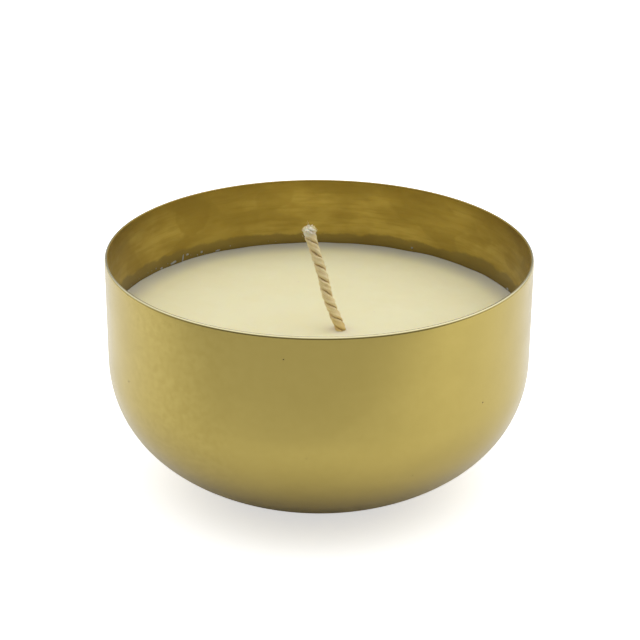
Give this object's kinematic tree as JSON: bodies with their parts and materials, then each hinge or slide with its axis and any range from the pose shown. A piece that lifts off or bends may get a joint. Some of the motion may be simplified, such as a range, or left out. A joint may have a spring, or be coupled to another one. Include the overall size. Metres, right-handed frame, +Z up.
{
  "type": "candle tin",
  "caption": "Container candle: cream wax cast in a shallow round brass-finished bowl, with a leaning twisted wick on a sustainer.",
  "frame": {"origin": "centre of the base, on the surface that the bowl stands on", "axes": "+Z up, along the bowl's axis; -Y towards the side that the wick comes out of the wax on"},
  "size_m": [0.1, 0.1, 0.0634],
  "materials": {
    "brass": "satin",
    "wax": "satin",
    "wick_cotton": "matte",
    "tinplate": "satin",
    "foam": "matte",
    "label_paper": "matte"
  },
  "bodies": {
    "root": {"bowl": "brass", "wax_fill": "wax", "wick_ply_1": "wick_cotton", "wick_ply_2": "wick_cotton", "wick_sustainer": "tinplate", "wick_pad": "foam", "base_label": "label_paper"}
  },
  "joints": []
}
